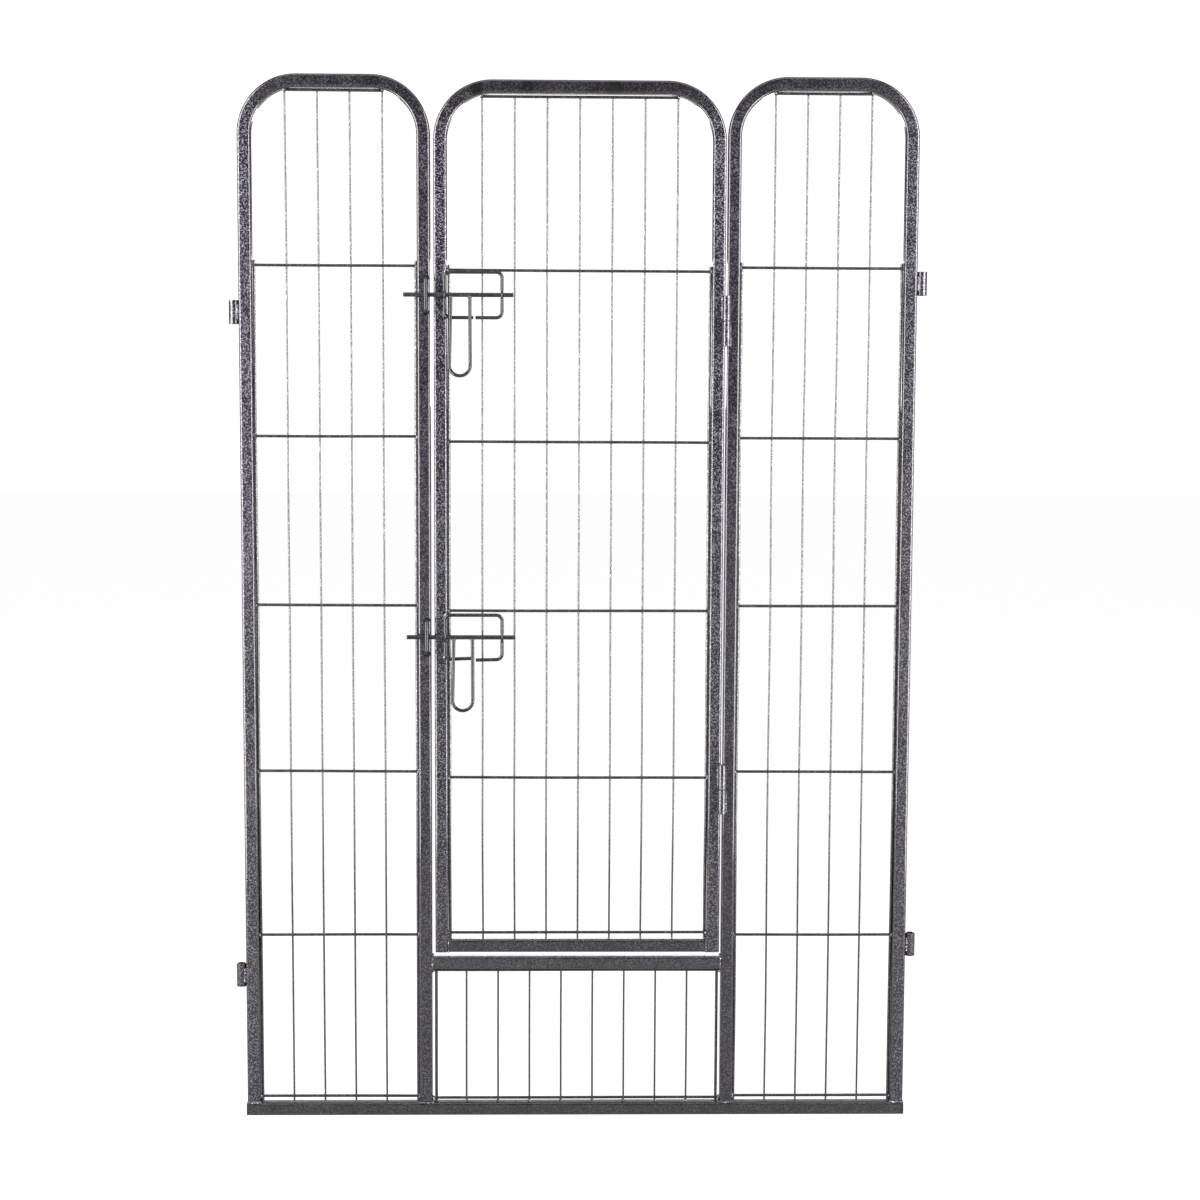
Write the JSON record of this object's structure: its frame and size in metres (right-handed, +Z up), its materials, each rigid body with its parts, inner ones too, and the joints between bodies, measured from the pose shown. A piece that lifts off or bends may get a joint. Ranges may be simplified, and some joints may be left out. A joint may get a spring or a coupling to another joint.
{
  "type": "livestock panel gate",
  "caption": "Arch-topped pen panel of square steel tube and welded wire, with a hinged door over a kick panel, slide bolts and side sleeves for drop pins.",
  "frame": {"origin": "under the middle of the bottom rail, on the rail's flat underside, at the middle of the tube's depth", "axes": "+X to the right seen from the front, where the hinges are; +Y from the front face with the bolts and hinges to the back; +Z up"},
  "size_m": [0.7936, 0.0376, 1.2],
  "materials": {
    "hammertone_paint": "dark gunmetal hammertone paint, glossy, fine dimples and pale speckle",
    "painted_wire": "the same dark paint, thinner and smoother on the wires",
    "latch_paint": "the same dark paint on bent wire and rod, rubbed where the bolts slide",
    "pin_steel": "plain steel, lightly oiled",
    "plug_plastic": "black moulded plastic, satin"
  },
  "bodies": {
    "panel": {"left_frame_tube": "hammertone_paint", "right_frame_tube": "hammertone_paint", "bottom_rail": "hammertone_paint", "sill_rail": "hammertone_paint", "left_mesh": "painted_wire", "right_mesh": "painted_wire", "kick_mesh": "painted_wire", "rail_end_plug_left": "plug_plastic", "rail_end_plug_right": "plug_plastic", "connector_sleeve_left_lower": "hammertone_paint", "connector_sleeve_left_upper": "hammertone_paint", "connector_sleeve_right_lower": "hammertone_paint", "connector_sleeve_right_upper": "hammertone_paint", "hinge_knuckle_fixed_upper": "hammertone_paint", "hinge_knuckle_fixed_lower": "hammertone_paint", "hinge_pin_upper": "pin_steel", "hinge_pin_lower": "pin_steel", "bolt_keeper_upper": "latch_paint", "bolt_keeper_lower": "latch_paint"},
    "door": {"door_frame_tube": "hammertone_paint", "door_bottom_rail": "hammertone_paint", "door_mesh": "painted_wire", "hinge_knuckle_door_upper": "hammertone_paint", "hinge_knuckle_door_lower": "hammertone_paint", "bolt_guide_upper": "latch_paint", "bolt_guide_lower": "latch_paint"},
    "upper_bolt": {"bolt_rod_upper": "latch_paint"},
    "lower_bolt": {"bolt_rod_lower": "latch_paint"},
    "upper_handle": {"bolt_handle_upper": "latch_paint"},
    "lower_handle": {"bolt_handle_lower": "latch_paint"}
  },
  "joints": [
    {"name": "door_hinge", "type": "hinge", "parent": "panel", "child": "door", "pos_m": [0.16755, -0.0126, 0.6578], "axis": [0, 0, 1], "range_deg": [0, 170]},
    {"name": "upper_bolt_slide", "type": "slide", "parent": "door", "child": "upper_bolt", "axis": [1, 0, 0], "range_m": [0, 0.031]},
    {"name": "lower_bolt_slide", "type": "slide", "parent": "door", "child": "lower_bolt", "axis": [1, 0, 0], "range_m": [0, 0.0285]},
    {"name": "upper_handle_turn", "type": "hinge", "parent": "upper_bolt", "child": "upper_handle", "pos_m": [-0.1339, -0.0124, 0.9546], "axis": [-1, 0, 0], "range_deg": [0, 160]},
    {"name": "lower_handle_turn", "type": "hinge", "parent": "lower_bolt", "child": "lower_handle", "pos_m": [-0.1314, -0.0124, 0.5655], "axis": [-1, 0, 0], "range_deg": [0, 160]}
  ]
}
